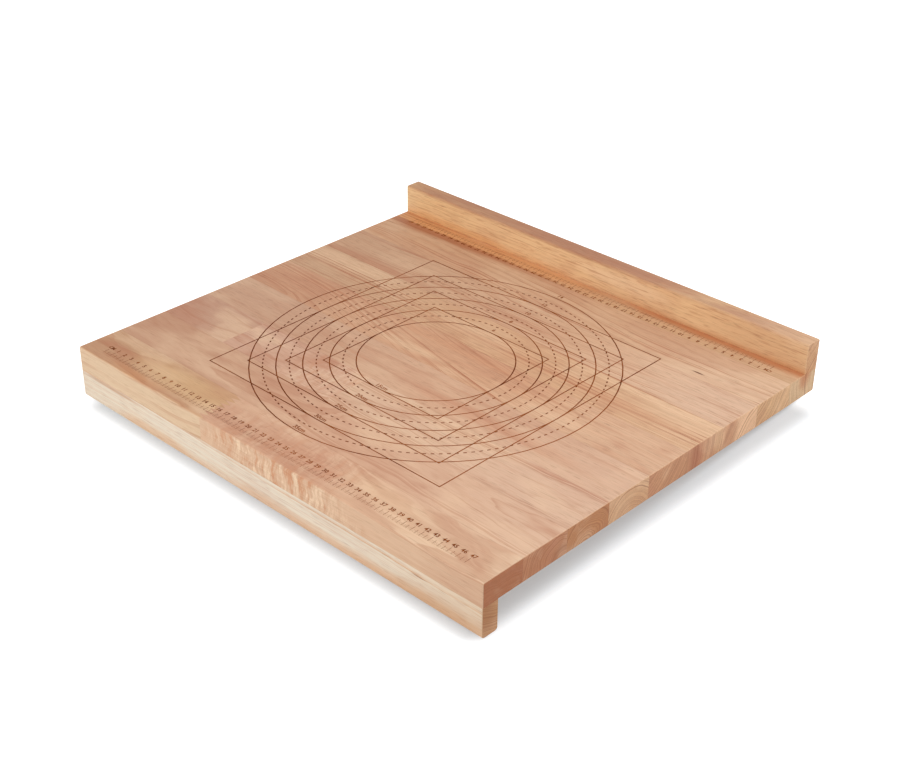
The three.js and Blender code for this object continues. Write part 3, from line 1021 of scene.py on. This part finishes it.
def floor_paint():
    """Matt white, with a glow that only the camera and mirrors see: a little beside the board and full
    beyond the shade's reach. The distance is from the board's plan, with each side moved in or out as the
    shade lies."""
    s = Shader(bpy.data.materials.new("floor"))
    place = s.node("ShaderNodeTexCoord", {}, "Object")
    rightward = s.vector("DOT_PRODUCT", place, (1, -SHADE_SKEW, 0), output="Value")
    rightward = s.math("SUBTRACT", rightward, half_width + SHADE_RIGHT)
    leftward = s.vector("DOT_PRODUCT", place, (-1, 0, 0), output="Value")
    leftward = s.math("SUBTRACT", leftward, half_width - SHADE_LEFT)
    y_of = s.part(place, "Y")
    frontward = s.math("MULTIPLY_ADD", y_of, -SHADE_FRONT, SHADE_FRONT * front_y)
    rearward = s.math("SUBTRACT", y_of, rear_y - SHADE_REAR)
    sideways = s.math("MAXIMUM", rightward, leftward)
    outside = s.node("ShaderNodeCombineXYZ", {0: sideways, 1: s.math("MAXIMUM", frontward, rearward)})
    outside = s.vector("LENGTH", s.vector("MAXIMUM", outside, (0, 0, 0)), output="Value")
    glow = s.ramp(outside, 0.0, SHADE_REACH, SHADE_GLOW, 1.0)
    seen = s.seen()
    from_below = s.node("ShaderNodeNewGeometry", {}, "Backfacing")
    s.feed(s.surface.inputs["Base Color"], s.mix(seen, FLOOR_AS_LIGHT, FLOOR_AS_SEEN))
    s.feed(s.surface.inputs["Emission Strength"], s.math("MULTIPLY", seen, glow))
    s.feed(s.surface.inputs["Alpha"], s.math("SUBTRACT", 1.0, from_below))
    s.surface.inputs["Emission Color"].default_value = WHITE
    s.surface.inputs["Roughness"].default_value = 1.0
    s.surface.inputs["Specular IOR Level"].default_value = 0.0
    return s.owner


floor.data.materials.append(floor_paint())
print("shade reaches", round(SHADE_REACH / MM), "mm from the board")

# %% [markdown]
# ## The light
# The photograph has soft light from all round. One bright sky would give that, but no form: so a weaker
# sky is joined by a large lamp at the front left, a small one overhead at the right, one at the right for
# the end grain, and one behind for a little sheen on the top. What is seen of the sky is white.

# %% Light
SKY = 0.5
LAMPS = {  # place, point that it looks at, side in metres, power in watts
    "front_left": ((-1.3, -2.6, 1.2), (0, 0, 0), 1.4, 48),
    "overhead": ((0.55, -0.05, 0.95), (0.3, 0, 0), 0.6, 4),
    "right": ((1.9, 0.7, 0.5), (0, 0, 0), 0.9, 8),
    "rear": ((-0.2, 1.7, 0.75), (0.2, 0.1, 0), 0.9, 5),
}


def lamp(name, place, aim, size, power):
    """A square soft lamp that looks at a point."""
    light = bpy.data.lights.new(name, "AREA")
    light.size = size
    light.energy = power
    made = bpy.data.objects.new(name, light)
    made.matrix_world = camera_place(Vector(place), Vector(aim), 0.0)
    bpy.context.scene.collection.objects.link(made)


for name, setting in LAMPS.items():
    lamp(name, *setting)

sky = Shader(bpy.data.worlds.new("studio"))
sky.surface.inputs["Color"].default_value = WHITE
sky.feed(sky.surface.inputs["Strength"], sky.ramp(sky.seen(), 0.0, 1.0, SKY, 1.0))
bpy.context.scene.world = sky.owner
print("lamps:", *LAMPS)

# %% [markdown]
# ## The size
# Looks must not change the size of the board, so the box of the solids, kept from the start, and the box
# of the finished board are written side by side.

# %% Size
low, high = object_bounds()
print("visual box", [round(v, 4) for v in (*low, *high)])
